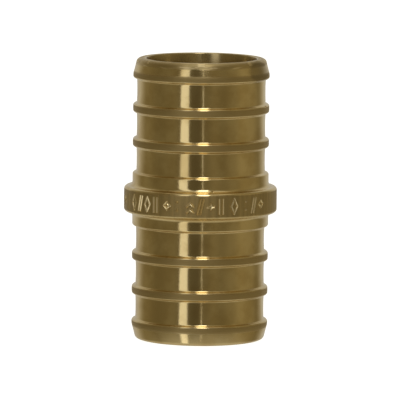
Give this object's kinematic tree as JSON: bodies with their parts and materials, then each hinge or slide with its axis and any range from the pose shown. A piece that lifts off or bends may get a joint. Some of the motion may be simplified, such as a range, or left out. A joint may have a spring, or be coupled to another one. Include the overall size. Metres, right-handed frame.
{
  "type": "insert pipe coupling",
  "caption": "Barbed brass insert coupling: ribbed spigots on either side of a round collar, with a straight bore, for joining crimped plastic pipe end to end.",
  "frame": {"origin": "centre of the lower nose's flat end, on the bore's axis, where the part stands on a surface", "axes": "+Z along the bore towards the upper nose; -Y is the front, where the marks on the collar face the viewer; +X is the viewer's right"},
  "size_m": [0.0194, 0.0194, 0.0356],
  "materials": {
    "turned_brass": "fine-turned, semi-bright, lightly tarnished"
  },
  "bodies": {
    "root": {"coupling_body": "turned_brass"}
  },
  "joints": []
}
